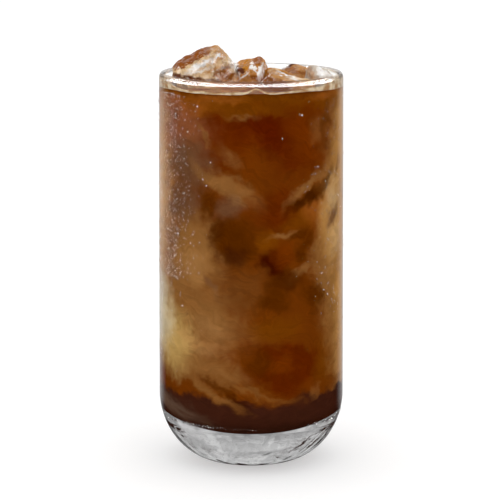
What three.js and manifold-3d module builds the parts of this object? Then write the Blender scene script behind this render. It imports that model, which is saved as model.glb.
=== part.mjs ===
// A tall tumbler of iced latte: coffee clouded with milk over a dark layer, a thin head of foam, and ice that stands
// out of the top. Millimetres, +Z up. The origin is the middle of the foot, and -Y is the front.
import * as THREE from "three";
import { mergeVertices } from "three/addons/utils/BufferGeometryUtils.js";
import Module from "manifold-3d";

const wasm = await Module();
wasm.setup();

// Glass: outside
const glassHeight = 150;
const mouthRadius = 35.05;
const bellyRadius = 35.6;
const cornerHeight = 25.7; // the wall turns into the rounded base here
const cornerExponent = 1.9; // 2 is an ellipse
const footRadius = 15;
const recessRadius = 11;
const recessDepth = 0.7;

// Glass: inside
const mouthWall = 2.2;
const bellyWall = 2.6;
const floorHeight = 15.4;
const floorRadius = 1.5;
const bowlTop = 33; // the bore turns into the bowl-shaped floor here
const bowlExponent = 2.05;

// Drink
const darkLayerTop = 27;
const darkLayerWave = 2.0;
const latteTop = 144.6;
const foamBottom = 144.9;
const foamTop = 145.6;
const foamClimb = 0.9; // how far the foam creeps up the wall
const climbWidth = 2.4; // the part of the foam that slopes up to the wall
const foamWidth = 4.2;

// Ice
const iceMargin = 1.7; // between the ice and the glass
const iceUnevenness = 0.45;
const iceHeadroom = 30; // above the rim, more than any block stands out

const clearance = 0.3; // kept between any two pieces

// Facets
const turns = 56;
const cornerSteps = 13;
const bowlSteps = 11;
const lipSteps = 6;
const iceSteps = 6;

const mouthBore = mouthRadius - mouthWall;
const bellyBore = bellyRadius - bellyWall;
const lipRadius = mouthWall / 2;

// A quarter of a superellipse in the r, z half-plane, from the wall at (outer, top) down to (inner, bottom).
function roundedCorner(outer, inner, top, bottom, exponent, steps) {
  return Array.from({ length: steps + 1 }, (_, i) => {
    const angle = ((Math.PI / 2) * i) / steps;
    const across = Math.pow(Math.max(Math.cos(angle), 0), 2 / exponent);
    const down = Math.pow(Math.sin(angle), 2 / exponent);
    return new THREE.Vector2(inner + (outer - inner) * across, top - (top - bottom) * down);
  });
}

const boreAt = (z) => THREE.MathUtils.mapLinear(z, bowlTop, glassHeight, bellyBore, mouthBore);

function bowlPoints(gap) {
  return roundedCorner(bellyBore - gap, floorRadius, bowlTop, floorHeight + gap, bowlExponent, bowlSteps);
}

// A profile runs anticlockwise seen with r to the right, so that the turned solid faces outwards.
function turned(profile) {
  return new THREE.LatheGeometry(profile, turns);
}

function glassGeometry() {
  const lipCentre = new THREE.Vector2(mouthRadius - lipRadius, glassHeight - lipRadius);
  const lip = Array.from({ length: lipSteps + 1 }, (_, i) => {
    const angle = (Math.PI * i) / lipSteps;
    return new THREE.Vector2(Math.cos(angle), Math.sin(angle)).multiplyScalar(lipRadius).add(lipCentre);
  });
  const recess = [0, 0.4, 0.75, 1].map(
    (share) => new THREE.Vector2(recessRadius * share, recessDepth * (1 - share * share)),
  );
  const corner = roundedCorner(bellyRadius, footRadius, cornerHeight, 0, cornerExponent, cornerSteps).reverse();
  return turned([...recess, ...corner, ...lip, ...bowlPoints(0), new THREE.Vector2(0, floorHeight)]);
}

// The free surface between the two coffees, which dips and rises round the glass.
function darkSurface(x, y) {
  const angle = Math.atan2(y, x);
  const share = Math.hypot(x, y) / bellyBore;
  const wave = 0.6 * Math.sin(3 * angle + 0.8) + 0.4 * Math.sin(5 * angle - 1.1);
  return darkLayerTop + darkLayerWave * share * wave;
}

// A disc as wide as the glass, from well below the floor up to the dark surface raised by lift.
function darkCutter(lift) {
  const ring = bellyRadius;
  const shares = [1, 0.75, 0.5, 0.25];
  const profile = [
    new THREE.Vector2(0, 0),
    new THREE.Vector2(ring, 0),
    ...shares.map((share) => new THREE.Vector2(ring * share, darkLayerTop)),
    new THREE.Vector2(0, darkLayerTop),
  ];
  const geometry = turned(profile);
  const position = geometry.attributes.position;
  for (let i = 0; i < position.count; i++) {
    const height = position.getY(i);
    // The lathe turns about Y here, and is stood up later, which takes its Z to -Y.
    if (height > 0) position.setY(i, darkSurface(position.getX(i), -position.getZ(i)) + lift);
  }
  return geometry;
}

function drinkGeometry() {
  return turned([
    new THREE.Vector2(0, floorHeight + clearance),
    ...bowlPoints(clearance).reverse(),
    new THREE.Vector2(boreAt(latteTop) - clearance, latteTop),
    new THREE.Vector2(0, latteTop),
  ]);
}

// How much higher the foam stands at an angle round the glass, where ice pushes it against the wall.
function foamPeak(angle) {
  const peaks = [
    { at: -86, half: 7, rise: 1.4 },
    { at: -28, half: 6, rise: 0.5 },
    { at: 62, half: 9, rise: 0.4 },
  ];
  const degrees = THREE.MathUtils.radToDeg(angle);
  return peaks.reduce((sum, { at, half, rise }) => {
    const away = Math.abs(((degrees - at + 540) % 360) - 180) / half;
    return sum + rise * Math.exp(-away * away);
  }, 0);
}

function foamGeometry() {
  const wall = boreAt(foamTop) - clearance;
  const geometry = turned([
    new THREE.Vector2(wall - foamWidth, foamBottom),
    new THREE.Vector2(wall, foamBottom),
    new THREE.Vector2(wall, foamTop + foamClimb),
    new THREE.Vector2(wall - climbWidth / 3, foamTop + foamClimb / 3),
    new THREE.Vector2(wall - climbWidth, foamTop),
    new THREE.Vector2(wall - foamWidth, foamBottom),
  ]);
  const position = geometry.attributes.position;
  for (let i = 0; i < position.count; i++) {
    const rise = THREE.MathUtils.clamp((position.getY(i) - foamTop) / foamClimb, 0, 1);
    const angle = Math.atan2(-position.getZ(i), position.getX(i));
    position.setY(i, position.getY(i) + rise * foamPeak(angle));
  }
  return geometry;
}

// Ice blocks. size is the block before its edges melted, at its middle, and turn is in degrees about X, Y and Z. A
// chip is a broken corner: the plane that cuts it off, by its direction in the block and its distance from the middle.
const iceBlocks = [
  {
    name: "ice_left_large",
    size: [23, 19, 23],
    at: [-16.2, -3, 147],
    turn: [5, -25, 4],
    melt: 5.5,
    chips: [
      { towards: [0.94, 0, 0.34], distance: 11.5 },
      { towards: [0.31, 0, 0.95], distance: 11.9 },
      { towards: [0.3, -1, 0.1], distance: 8.8 },
    ],
  },
  {
    name: "ice_centre",
    size: [11.4, 14, 22],
    at: [-0.4, -4, 145.4],
    turn: [4, 0, 8],
    melt: 2.2,
    chips: [
      { towards: [-0.25, -0.05, 0.97], distance: 8.2 },
      { towards: [-0.1, -0.75, 0.65], distance: 8.6 },
      { towards: [0.8, -0.6, 0.1], distance: 6.9 },
    ],
  },
  {
    name: "ice_small_amber",
    size: [10, 8, 14],
    at: [8.8, -1.5, 143.8],
    turn: [0, 6, 18],
    melt: 2.2,
    chips: [{ towards: [-0.6, -0.5, 0.6], distance: 6.4 }],
  },
  {
    name: "ice_front_right",
    size: [20, 13, 16.4],
    at: [12, -14.2, 142],
    turn: [5, 14, -8],
    melt: 1.5,
    chips: [{ towards: [-0.86, 0, 0.52], distance: 9.8 }],
  },
  {
    name: "ice_back_right",
    size: [16, 14, 18.4],
    at: [18, 8, 141.5],
    turn: [4, 20, 16],
    melt: 2.0,
    chips: [
      { towards: [-0.69, 0, 0.73], distance: 9.2 },
      { towards: [0.1, -0.7, 0.7], distance: 8.6 },
    ],
  },
  {
    name: "ice_far_right",
    size: [11, 12, 16.8],
    at: [26, -3, 143.5],
    turn: [-4, 12, 12],
    melt: 1.8,
    chips: [{ towards: [0.48, -0.1, 0.88], distance: 7.4 }],
  },
];

// How far a point of a melting face stands out. The waves differ from block to block by its number.
function unevenness({ x, y, z }, number) {
  const broad = Math.sin(x / 3.2 + 1.7 * number) * Math.cos(y / 3.7 - number);
  const fine = Math.sin(z / 2.4 + x / 2.8 + 2.3 * number);
  return iceUnevenness * (broad + 0.7 * fine);
}

// A box whose edges have melted round and whose faces are a little uneven. grow adds to every side.
function blockGeometry({ size, melt }, number, grow) {
  const half = new THREE.Vector3(...size).multiplyScalar(0.5);
  const geometry = new THREE.BoxGeometry(...size, iceSteps, iceSteps, iceSteps);
  const position = geometry.attributes.position;
  const core = half.clone().subScalar(melt);
  const point = new THREE.Vector3();
  for (let i = 0; i < position.count; i++) {
    point.fromBufferAttribute(position, i);
    const inner = point.clone().clamp(core.clone().negate(), core);
    const out = point.clone().sub(inner).normalize();
    point.copy(inner).addScaledVector(out, melt + unevenness(point, number) + grow);
    position.setXYZ(i, point.x, point.y, point.z);
  }
  return geometry;
}

// Booleans. A geometry's shared corners are merged first, so that it is one closed surface.
function solidOf(geometry) {
  const bare = geometry.clone();
  bare.deleteAttribute("normal");
  bare.deleteAttribute("uv");
  const merged = mergeVertices(bare, 1e-4);
  const mesh = new wasm.Mesh({
    numProp: 3,
    vertProperties: new Float32Array(merged.attributes.position.array),
    triVerts: new Uint32Array(merged.index.array),
  });
  return new wasm.Manifold(mesh);
}

function geometryOf(solid) {
  const { numProp, vertProperties, triVerts } = solid.getMesh();
  const count = vertProperties.length / numProp;
  const points = new Float32Array(3 * count);
  for (let i = 0; i < count; i++) points.set(vertProperties.subarray(i * numProp, i * numProp + 3), 3 * i);
  const geometry = new THREE.BufferGeometry();
  geometry.setAttribute("position", new THREE.BufferAttribute(points, 3));
  geometry.setIndex(new THREE.BufferAttribute(new Uint32Array(triVerts), 1));
  geometry.computeVertexNormals();
  return geometry;
}

// LatheGeometry turns about Y; this stands it up on Z.
function stoodUp(geometry) {
  return solidOf(geometry.clone().rotateX(Math.PI / 2));
}

function placed(geometry, { at, turn }) {
  const angles = new THREE.Euler(...turn.map(THREE.MathUtils.degToRad), "XYZ");
  return geometry.applyMatrix4(new THREE.Matrix4().makeRotationFromEuler(angles).setPosition(...at));
}

function chipCutter({ towards, distance }, block, grow) {
  const depth = 2 * Math.max(...block.size);
  const normal = new THREE.Vector3(...towards).normalize();
  const geometry = new THREE.BoxGeometry(depth, depth, depth);
  const turn = new THREE.Quaternion().setFromUnitVectors(new THREE.Vector3(1, 0, 0), normal);
  geometry.applyQuaternion(turn);
  const middle = normal.clone().multiplyScalar(distance + grow + depth / 2);
  geometry.translate(middle.x, middle.y, middle.z);
  return solidOf(placed(geometry, block));
}

function iceSolid(block, number, grow) {
  const whole = solidOf(placed(blockGeometry(block, number, grow), block));
  return block.chips.reduce((solid, chip) => solid.subtract(chipCutter(chip, block, grow)), whole);
}

// The room inside the bore, up past the rim, that ice may fill.
function boreRoom() {
  return stoodUp(
    turned([
      new THREE.Vector2(0, bowlTop),
      new THREE.Vector2(boreAt(bowlTop) - iceMargin, bowlTop),
      new THREE.Vector2(mouthBore - iceMargin, glassHeight),
      new THREE.Vector2(mouthBore - iceMargin, glassHeight + iceHeadroom),
      new THREE.Vector2(0, glassHeight + iceHeadroom),
    ]),
  );
}

// Every block gives way to the ones before it, and the drink and the foam give way to all of them.
const room = boreRoom();
const iceSolids = [];
const iceSpaces = [];
iceBlocks.forEach((block, index) => {
  const own = iceSolid(block, index + 1, 0).intersect(room);
  iceSolids.push(iceSpaces.reduce((solid, space) => solid.subtract(space), own));
  iceSpaces.push(iceSolid(block, index + 1, clearance));
});

function withoutIce(solid) {
  const pieces = iceSpaces.reduce((rest, space) => rest.subtract(space), solid).decompose();
  // A drop that the blocks close in between them is left out.
  return pieces.reduce((most, piece) => (piece.volume() > most.volume() ? piece : most));
}

const drink = stoodUp(drinkGeometry());
const darkSolid = drink.intersect(stoodUp(darkCutter(0)));
const latteSolid = withoutIce(drink.subtract(stoodUp(darkCutter(clearance))));
const foamSolid = withoutIce(stoodUp(foamGeometry()));

const glassMaterial = new THREE.MeshStandardMaterial({ color: 0xe8eeee, roughness: 0.03 });
glassMaterial.transparent = true;
glassMaterial.opacity = 0.35;
const darkMaterial = new THREE.MeshStandardMaterial({ color: 0x2e1008, roughness: 0.25 });
const latteMaterial = new THREE.MeshStandardMaterial({ color: 0x8a5526, roughness: 0.3 });
const foamMaterial = new THREE.MeshStandardMaterial({ color: 0xdcc3a0, roughness: 0.7 });
const iceMaterial = new THREE.MeshStandardMaterial({ color: 0xc79a6c, roughness: 0.15 });

const icedLatte = new THREE.Group();

function add(name, solid, material) {
  const mesh = new THREE.Mesh(geometryOf(solid), material);
  mesh.name = name;
  icedLatte.add(mesh);
}

add("glass", stoodUp(glassGeometry()), glassMaterial);
add("dark_coffee_layer", darkSolid, darkMaterial);
add("latte", latteSolid, latteMaterial);
add("foam", foamSolid, foamMaterial);
iceBlocks.forEach(({ name }, index) => add(name, iceSolids[index], iceMaterial));

export default icedLatte;
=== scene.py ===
"""A tall glass of iced latte with ice standing above its rim, in a white studio.

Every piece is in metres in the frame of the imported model: the glass stands on z = 0 round the z axis, and
the front is towards -y. Run as a script, it builds everything and leaves the scene ready to render.
"""

import math
import random
from collections import namedtuple

import bpy
from bpy.props import FloatProperty, FloatVectorProperty, IntProperty, PointerProperty
from mathutils import Matrix, Vector, noise


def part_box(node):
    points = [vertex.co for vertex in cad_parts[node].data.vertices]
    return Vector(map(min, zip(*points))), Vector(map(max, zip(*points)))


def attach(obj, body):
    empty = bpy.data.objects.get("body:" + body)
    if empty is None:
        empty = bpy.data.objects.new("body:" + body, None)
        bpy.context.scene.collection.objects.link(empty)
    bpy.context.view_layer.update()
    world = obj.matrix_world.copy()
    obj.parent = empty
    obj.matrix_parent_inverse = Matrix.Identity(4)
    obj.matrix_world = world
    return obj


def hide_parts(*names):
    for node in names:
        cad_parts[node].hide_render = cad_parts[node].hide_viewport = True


bl_info = {
    "name": "Iced latte",
    "version": (1, 0, 0),
    "blender": (4, 5, 0),
    "location": "3D View > Sidebar > Iced Latte",
    "description": "Builds a glass of iced latte with its ice, foam and condensation, and a white studio",
    "category": "Add Mesh",
}

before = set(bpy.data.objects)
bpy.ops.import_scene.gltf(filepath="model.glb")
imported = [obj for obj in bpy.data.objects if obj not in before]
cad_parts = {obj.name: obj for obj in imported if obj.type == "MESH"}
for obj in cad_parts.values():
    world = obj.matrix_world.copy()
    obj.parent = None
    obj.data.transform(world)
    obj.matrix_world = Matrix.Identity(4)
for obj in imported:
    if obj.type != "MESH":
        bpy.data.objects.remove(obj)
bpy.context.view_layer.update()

MM = 0.001
BODY = "root"
ICE_NODES = sorted(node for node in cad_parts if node.startswith("ice_"))
GLASS_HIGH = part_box("glass")[1]
FOAM_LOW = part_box("foam")[0]
LATTE_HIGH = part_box("latte")[1]


def number(name, description, value, **settings):
    """A plain number, or an angle where the settings say so."""
    return FloatProperty(name=name, description=description, default=value, **settings)


def length(name, description, millimetres):
    """A size in metres, given in millimetres."""
    return number(name, description, millimetres * MM, unit="LENGTH", precision=5)


def linear(hex_colour):
    """The linear red, green and blue of a colour written as rrggbb."""
    parts = [int(hex_colour[i : i + 2], 16) / 255 for i in (0, 2, 4)]
    return tuple(p / 12.92 if p <= 0.04045 else ((p + 0.055) / 1.055) ** 2.4 for p in parts)


def colour(name, description, hex_colour):
    """A colour property, given as rrggbb."""
    return FloatVectorProperty(
        name=name, description=description, default=linear(hex_colour), subtype="COLOR", size=3, min=0, max=1
    )


class GlassSizes(bpy.types.PropertyGroup):
    """Sizes of the tumbler, outside and inside"""

    height: length("Height", "Foot to lip", GLASS_HIGH.z / MM)
    belly_radius: length("Belly radius", "Outside, where the base curve starts", GLASS_HIGH.x / MM)
    mouth_radius: length("Mouth radius", "Outside, at the lip", 35.05)
    corner_height: length("Corner height", "Where the outside turns into the rounded base", 25.7)
    foot_radius: length("Foot radius", "Of the flat that the base curve ends on", 15)
    recess_radius: length("Recess radius", "Of the shallow hollow under the foot", 11)
    recess_depth: length("Recess depth", "Of the hollow under the foot", 0.7)
    mouth_wall: length("Wall at the mouth", "Thickness of the wall at the lip", 2.2)
    belly_wall: length("Wall at the belly", "Thickness of the wall low down", 2.6)
    lip_rounding: length("Lip rounding", "How far down the outside of the lip its rounding reaches", 2.6)
    floor_height: length("Floor height", "Thickness of the glass under the drink", 15.4)
    floor_radius: length("Floor radius", "Of the flat middle of the inner floor", 1.5)
    bowl_top: length("Bowl top", "Where the bore turns into the bowl-shaped floor", 33)
    corner_exponent: number("Corner exponent", "2 is an ellipse", 1.9)
    bowl_exponent: number("Bowl exponent", "2 is an ellipse", 2.05)
    turns: IntProperty(name="Turns", description="Faces round the glass", default=160)


class GlassColours(bpy.types.PropertyGroup):
    """Greys that the glass shows: the wall's own clear tint, and painted light and shade in its thick base"""

    # Apart from the wall's clear tint, these greys are painted into the thick base: its grey and its darker
    # streaks are painted shade, its lightest parts painted light, and marks of the clear tint there painted
    # highlights.
    clear: colour("Clear", "The wall of the glass", "fafcfb")
    pale: colour("Pale", "The base where it is lightest", "d8d8d8")
    shaded_grey: colour("Grey", "The base", "b0b0b0")
    shade_streak: colour("Smoke", "Darker streaks in the base", "646464")
    shade: colour("Shade", "The darkest streaks in the base", "202020")


class DrinkSizes(bpy.types.PropertyGroup):
    """Levels of the drink"""

    level: length("Level", "Of the drink at the glass", FOAM_LOW.z / MM + 0.5)
    dark_top: length("Dark layer top", "Middle height of the dark layer's surface", 27)
    dark_wave: length("Dark layer wave", "How far that surface rises and dips at the glass", 2)
    reach: length("Reach", "How far the drink reaches into the wall of the glass", 0.15)
    ice_reach: length("Ice reach", "How far the drink reaches into each block of ice", 0.4)
    foam_depth: length("Foam depth", "How far the foam hangs below the level", 0.55)
    foam_climb: length("Foam climb", "How far the foam creeps up the wall", 0.25)
    foam_width: length("Foam width", "Of the ring of foam", 1.6)
    foam_reach: length("Foam reach", "How far the foam reaches into the wall of the glass", 0.285)


class DrinkColours(bpy.types.PropertyGroup):
    """Colours of coffee and milk"""

    ink: colour("Ink", "Coffee in the deepest shade", "3a1604")
    garnet: colour("Garnet", "A dark pool of coffee, reddish", "3a0a00")
    deep: colour("Deep", "Coffee with hardly any milk", "531600")
    bister: colour("Bister", "The shade along a block of ice", "441c00")
    umber: colour("Umber", "Coffee in the shade of ice", "522400")
    russet: colour("Russet", "Strong coffee", "5a1e00")
    rust: colour("Rust", "Strong coffee with a little milk", "6a2c01")
    coffee: colour("Coffee", "The drink between its clouds", "683004")
    amber: colour("Amber", "Thin coffee that the light comes through", "6e3803")
    ember: colour("Ember", "Thin coffee at its brightest", "94501a")
    walnut: colour("Walnut", "Brown between the clouds low down", "683a14")
    toffee: colour("Toffee", "The tongues in the dark layer", "784618")
    chestnut: colour("Chestnut", "Coffee and milk in equal parts", "7a481e")
    plum: colour("Plum", "Strong coffee behind misted glass", "864c2c")
    mauve: colour("Mauve", "Milky coffee behind misted glass", "6a442a")
    caramel: colour("Caramel", "Milky coffee", "8a5c2e")
    biscuit: colour("Biscuit", "Milky coffee with light coming round the side", "bc8848")
    latte: colour("Latte", "Milkier coffee", "a67644")
    milk: colour("Milk", "The milkiest cloud", "bd9858")
    side_light_cream: colour("Cream", "Milk next to the glass", "cdb68e")
    silver: colour("Silver", "Milk by the lit edge of the glass", "c4b8a4")
    slate: colour("Slate", "Milk over the dark layer", "644c3c")
    # Painted light: milk paler where light comes round the sides of the glass.
    dregs: colour("Dregs", "The dark layer on the floor", "3c1c10")
    foam: colour("Foam", "Fine bubbles", "e2d0b0")


class IceColours(bpy.types.PropertyGroup):
    """Colours of ice that has soaked up coffee"""

    bark: colour("Bark", "Coffee in cracks and along the waterline", "5a2a12")
    smoky: colour("Smoky", "Ice with coffee behind it", "8a4c1c")
    amber: colour("Amber", "Thick clear ice over coffee", "96581a")
    honey: colour("Honey", "Clear ice over coffee", "b4772c")
    tan: colour("Tan", "Ice tinted by coffee", "c08c58")
    rose: colour("Rose", "Pale ice with coffee under it", "b8854f")
    lilac: colour("Lilac", "Shade in the frost", "967870")
    beige: colour("Beige", "Frost", "d8b88e")
    mist: colour("Mist", "Nearly clear ice", "c9bdae")
    # Also painted highlights, where the wet ice would mirror the light.
    white: colour("White", "Thick frost and bright flaws", "fbfaf8")
    melt: colour("Melt", "Tint of the clear ice", "e6b878")


class DewSizes(bpy.types.PropertyGroup):
    """Condensation on the outside of the glass"""

    drops: IntProperty(name="Drops", description="How many drops are made", default=3600)
    smallest: length("Smallest", "Radius of the smallest drops", 0.12)
    largest: length("Largest", "Radius of the largest drops", 0.45)
    flatness: number("Flatness", "Thickness of a drop over its width", 0.5)
    seed: IntProperty(name="Seed", description="Sets where the drops lie", default=7)


class StudioSizes(bpy.types.PropertyGroup):
    """Floor, light and camera"""

    floor_radius: length("Floor radius", "Of the pale floor", 6000)
    lens: number("Lens", "Focal length of the camera, in millimetres", 171.07)
    camera_distance: length("Camera distance", "In front of the glass's axis", 900)
    camera_height: length("Camera height", "Above the floor", 246.8)
    camera_side: length("Camera side", "To the right of the glass's axis", -0.455)
    camera_pitch: number("Camera pitch", "Below level", math.radians(10.43), subtype="ANGLE")
    back_light: number("Back light", "Strength of the white behind", 1.0)
    strip_light: number("Strip light", "Strength of what the lip mirrors", 26)
    edge_light: number("Edge light", "Strength of what the sides mirror", 0.55)
    fill_power: number("Fill power", "Of each lamp by the camera, in watts", 1.7)
    fill_size: length("Fill size", "Side of each lamp by the camera", 700)
    sky_power: number("Sky power", "Of the soft light from above", 1.4)
    sky_width: number("Sky width", "Of the soft light from above", math.radians(70), subtype="ANGLE")


class Wire:
    """A socket of a shader graph. Arithmetic on it adds Math nodes."""

    def __init__(self, graph, socket):
        self.graph = graph
        self.socket = socket

    def __add__(self, other):
        return self.graph.math("ADD", self, other)

    def __sub__(self, other):
        return self.graph.math("SUBTRACT", self, other)

    def __rsub__(self, other):
        return self.graph.math("SUBTRACT", other, self)

    def __mul__(self, other):
        return self.graph.math("MULTIPLY", self, other)

    def __truediv__(self, other):
        return self.graph.math("DIVIDE", self, other)

    __radd__ = __add__
    __rmul__ = __mul__

    def beside(self, output):
        """Another output of the same node."""
        return Wire(self.graph, self.socket.node.outputs[output])


class Graph:
    """The nodes of one material, or of the world."""

    def __init__(self, owner):
        owner.use_nodes = True
        self.owner = owner
        self.tree = owner.node_tree
        self.tree.nodes.clear()

    def node(self, kind, settings=None, inputs=None, output=0):
        """Adds a node with its settings and the values or links of its sockets, and gives one output."""
        made = self.tree.nodes.new("ShaderNode" + kind)
        for name, value in (settings or {}).items():
            setattr(made, name, value)
        for name, value in (inputs or {}).items():
            socket = made.inputs[name]
            if isinstance(value, Wire):
                self.tree.links.new(value.socket, socket)
            else:
                socket.default_value = value
        return Wire(self, made.outputs[output]) if made.outputs else None

    def math(self, operation, *values):
        return self.node("Math", {"operation": operation}, dict(enumerate(values)))

    def vector(self, operation, *values, output=0):
        return self.node("VectorMath", {"operation": operation}, dict(enumerate(values)), output)

    def length(self, vector):
        return self.vector("LENGTH", vector, output="Value")

    def mix(self, factor, first, second):
        """A colour that goes from first to second as factor goes from 0 to 1."""
        first, second = (c if isinstance(c, Wire) else (*c, 1) for c in (first, second))
        return self.node("Mix", {"data_type": "RGBA"}, {0: factor, 6: first, 7: second}, output=2)

    def luminance(self, colour):
        return self.node("RGBToBW", inputs={0: colour})

    def smooth(self, value, low, high, top=1.0):
        """0 below low and top above high, or the other way round if low is the higher."""
        limits = {"Value": value, "From Min": low, "From Max": high, "To Max": top}
        return self.node("MapRange", {"interpolation_type": "SMOOTHSTEP"}, limits)

    def noise(self, place, size, detail=2.0, roughness=0.5, distortion=0.0, output="Fac"):
        """Noise whose lumps are about size across, in the place's own units."""
        values = {
            "Vector": place,
            "Scale": 1 / size,
            "Detail": detail,
            "Roughness": roughness,
            "Distortion": distortion,
        }
        return self.node("TexNoise", {"noise_dimensions": "3D"}, values, output)

    def stir(self, flat, place, size, far, detail=2.0):
        """A flat place pushed about by noise at a place, up to about half of far in each direction."""
        push = self.vector("SUBTRACT", self.noise(place, size, detail, output="Color"), (0.5, 0.5, 0.5))
        return self.vector("ADD", flat, self.vector("MULTIPLY", push, (far, far, 0)))

    def place_mm(self):
        """The place on the piece, in millimetres."""
        place = self.node("TexCoord", output="Object")
        return self.node("VectorMath", {"operation": "SCALE"}, {0: place, "Scale": 1 / MM})

    def bump(self, height, distance):
        return self.node("Bump", inputs={"Height": height, "Distance": distance}, output="Normal")

    def principled(self, **sockets):
        """A Principled shader. Socket names are given with underscores for spaces."""
        values = {name.replace("_", " "): value for name, value in sockets.items()}
        for name in ("Base Color", "Emission Color"):
            if name in values and not isinstance(values[name], Wire):
                values[name] = (*values[name], 1)
        return self.node("BsdfPrincipled", inputs=values)

    def finish(self, shader):
        self.node("OutputMaterial", inputs={"Surface": shader})
        return self.owner


def material(name):
    """An empty graph for a new material."""
    return Graph(bpy.data.materials.new(name))


def let_light_through(graph, shader):
    """The shader for what is seen, and nothing at all for light on its way to what is behind."""
    shadow = graph.node("LightPath", output="Is Shadow Ray")
    passing = graph.math("MAXIMUM", shadow, shadow.beside("Is Diffuse Ray"))
    return graph.node("MixShader", inputs={0: passing, 1: shader, 2: graph.node("BsdfTransparent")})


def start_clean():
    """Object mode with nothing selected."""
    if bpy.context.object and bpy.context.object.mode != "OBJECT":
        bpy.ops.object.mode_set(mode="OBJECT")
    bpy.ops.object.select_all(action="DESELECT")


def select_only(piece):
    start_clean()
    piece.select_set(True)
    bpy.context.view_layer.objects.active = piece


def spun(name, profile, turns):
    """A solid of revolution: a (radius, height) profile, drawn point by point and spun round the z axis."""
    start_clean()
    bpy.ops.mesh.primitive_plane_add(size=MM, location=(profile[0][0], 0, profile[0][1]))
    piece = bpy.context.object
    piece.name = name
    bpy.ops.object.transform_apply(location=True, rotation=True, scale=True)
    bpy.ops.object.mode_set(mode="EDIT")
    bpy.ops.mesh.merge(type="CENTER")
    for (radius, height), (next_radius, next_height) in zip(profile, profile[1:]):
        step = (next_radius - radius, 0, next_height - height)
        bpy.ops.mesh.extrude_region_move(TRANSFORM_OT_translate={"value": step})
    bpy.ops.mesh.select_all(action="SELECT")
    bpy.ops.mesh.spin(steps=turns, angle=2 * math.pi, center=(0, 0, 0), axis=(0, 0, 1))
    bpy.ops.mesh.select_all(action="SELECT")
    bpy.ops.mesh.remove_doubles(threshold=MM / 500)
    bpy.ops.mesh.normals_make_consistent(inside=False)
    bpy.ops.object.mode_set(mode="OBJECT")
    bpy.ops.object.shade_smooth()
    return piece


def dressed(piece, *materials, slot, replaces=None):
    """Gives a piece its materials and its place in the frame."""
    piece.data.materials.clear()
    for each in materials:
        piece.data.materials.append(each)
    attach(piece, BODY)
    if replaces:
        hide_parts(replaces)
    return piece


def lumps(place, layers):
    """The sum of layers of noise at a place, each given as its size and its height in millimetres."""
    return sum(noise.noise(place / (size * MM)) * height for size, height in layers)


def rounded_corner(outer, inner, top, bottom, exponent, steps):
    """A quarter of a superellipse as (radius, height), from (outer, top) down to (inner, bottom)."""
    points = []
    for i in range(steps + 1):
        angle = math.pi / 2 * i / steps
        across = max(math.cos(angle), 0) ** (2 / exponent)
        down = math.sin(angle) ** (2 / exponent)
        points.append((inner + (outer - inner) * across, top - (top - bottom) * down))
    return points


def bore_radius(glass, height):
    """Inside radius of the straight wall at a height."""
    low = glass.belly_radius - glass.belly_wall
    high = glass.mouth_radius - glass.mouth_wall
    share = (height - glass.bowl_top) / (glass.height - glass.bowl_top)
    return low + (high - low) * share


def outer_radius(glass, height):
    """Outside radius of the glass at a height."""
    if height >= glass.corner_height:
        share = (height - glass.corner_height) / (glass.height - glass.corner_height)
        return glass.belly_radius + (glass.mouth_radius - glass.belly_radius) * share
    down = 1 - height / glass.corner_height
    across = (1 - down**glass.corner_exponent) ** (1 / glass.corner_exponent)
    return glass.foot_radius + (glass.belly_radius - glass.foot_radius) * across


def bowl_radius(glass, height, reach):
    """Inside radius of the bowl-shaped floor at a height, pushed into the glass by reach."""
    outer = glass.belly_radius - glass.belly_wall + reach
    down = (glass.bowl_top - height) / (glass.bowl_top - glass.floor_height + reach)
    across = (1 - down**glass.bowl_exponent) ** (1 / glass.bowl_exponent)
    return glass.floor_radius + (outer - glass.floor_radius) * across


def bowl(glass, reach=0.0):
    """The bowl-shaped floor as a profile from the wall down to the middle, pushed out by reach."""
    outer = glass.belly_radius - glass.belly_wall + reach
    bottom = glass.floor_height - reach
    return rounded_corner(outer, glass.floor_radius, glass.bowl_top, bottom, glass.bowl_exponent, steps=40)


def xyz(graph, place):
    """The three parts of a vector."""
    x = graph.node("SeparateXYZ", inputs={0: place})
    return x, x.beside(1), x.beside(2)


# A cloud of milk or a pool of coffee that shows at the glass. across is measured round the glass from the
# front, and up from the foot. wide and high are half sizes, all in millimetres, and tilt is in degrees.
# A cloud of softness 1 fades from its middle on, and one of softness 0 has a hard edge.
Cloud = namedtuple("Cloud", "colour across up wide high tilt soft strength")

# The radius of the drink and the way round it, in millimetres.
DRINK_RADIUS = 33
ROUND = 2 * math.pi * DRINK_RADIUS


def clouds(*rows):
    """Clouds from rows of their values."""
    return tuple(Cloud(*row) for row in rows)


def laid_over(graph, mixed, rows, stirred, fray, colours):
    """A colour with clouds laid over it, at a place that is stirred and with edges that fray."""
    for cloud in rows:
        limits = {
            "Vector": stirred,
            "Location": (cloud.across, cloud.up, 0),
            "Rotation": (0, 0, math.radians(cloud.tilt)),
            "Scale": (cloud.wide, cloud.high, 1),
        }
        local = graph.node("Mapping", {"vector_type": "TEXTURE"}, limits)
        mask = graph.smooth(graph.length(local) + fray, 1 + cloud.soft, 1 - cloud.soft, top=cloud.strength)
        mixed = graph.mix(mask, mixed, getattr(colours, cloud.colour))
    return mixed
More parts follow.
